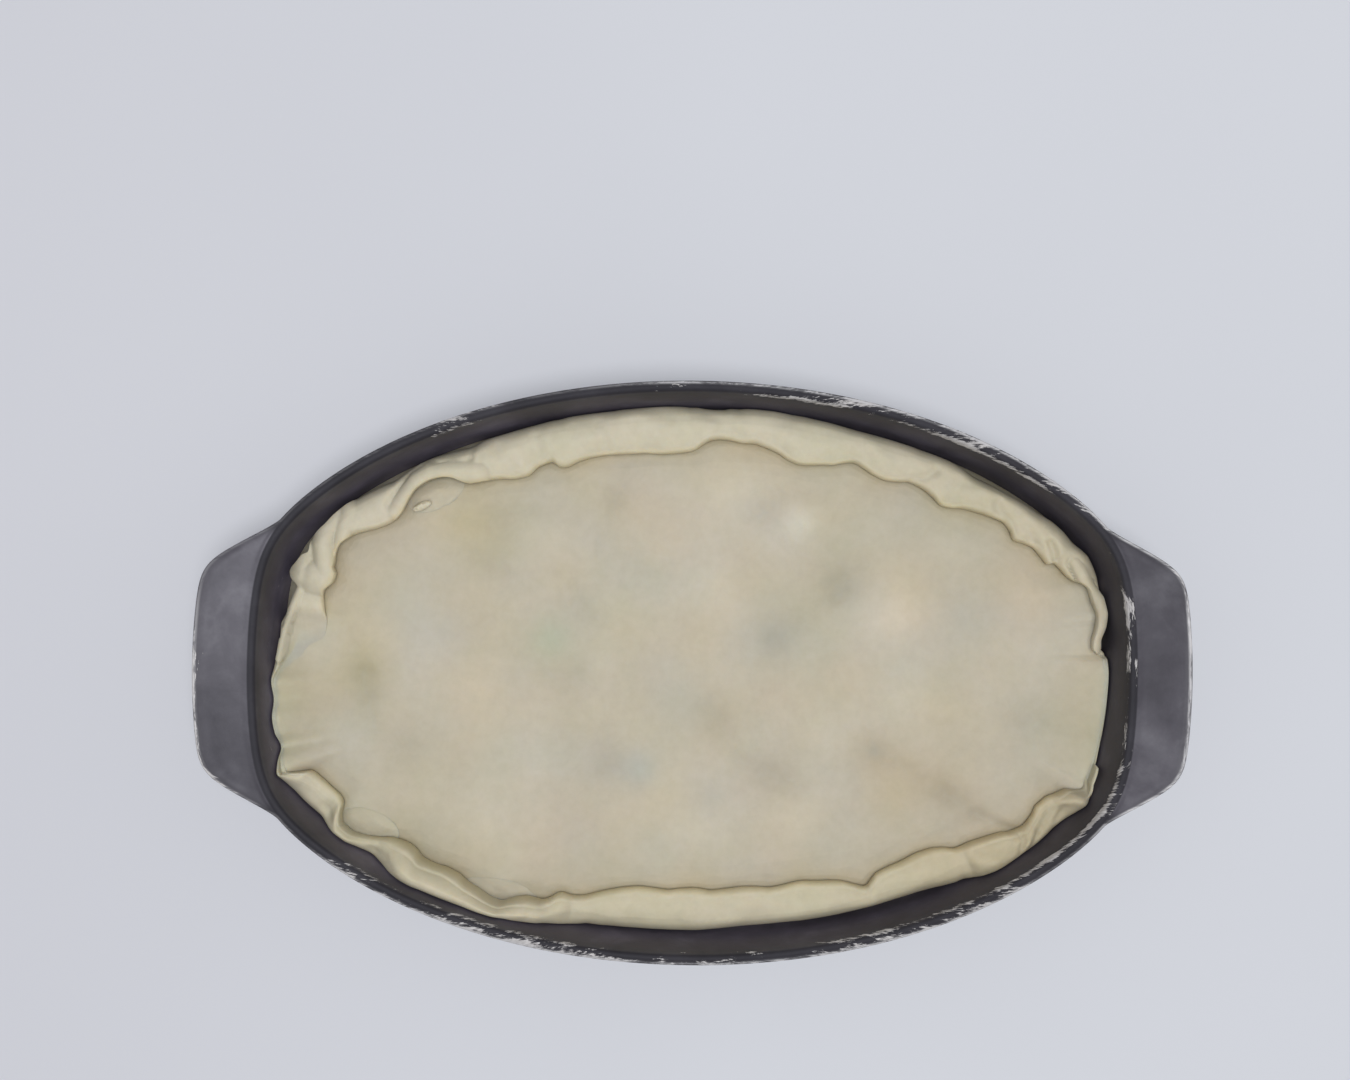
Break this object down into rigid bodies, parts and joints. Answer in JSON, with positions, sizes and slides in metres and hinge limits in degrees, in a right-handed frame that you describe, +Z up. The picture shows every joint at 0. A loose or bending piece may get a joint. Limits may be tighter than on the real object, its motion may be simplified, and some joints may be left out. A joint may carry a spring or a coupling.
{
  "type": "chicken and rice pie in its dish",
  "caption": "Oval filled pie before baking, with a rolled pastry lid and a folded-in pastry edge, in its own roasting dish with flat end handles.",
  "frame": {"origin": "centre of the underside of the dish, on the surface that it stands on", "axes": "+X along the dish through both handles, +Y across the dish, +Z up"},
  "size_m": [0.411, 0.2402, 0.062],
  "materials": {
    "coated_metal": "dark grey baked-on coating, satin, worn to bare metal at the lip's edges",
    "lining_dough": "soft raw pastry, pale cream, matt with a faint sheen",
    "lid_dough": "thin rolled raw pastry, pale cream, faintly mottled by the filling beneath"
  },
  "bodies": {
    "root": {"dish": "coated_metal", "filled_crust": "lining_dough", "pastry_lid": "lid_dough"}
  },
  "joints": []
}
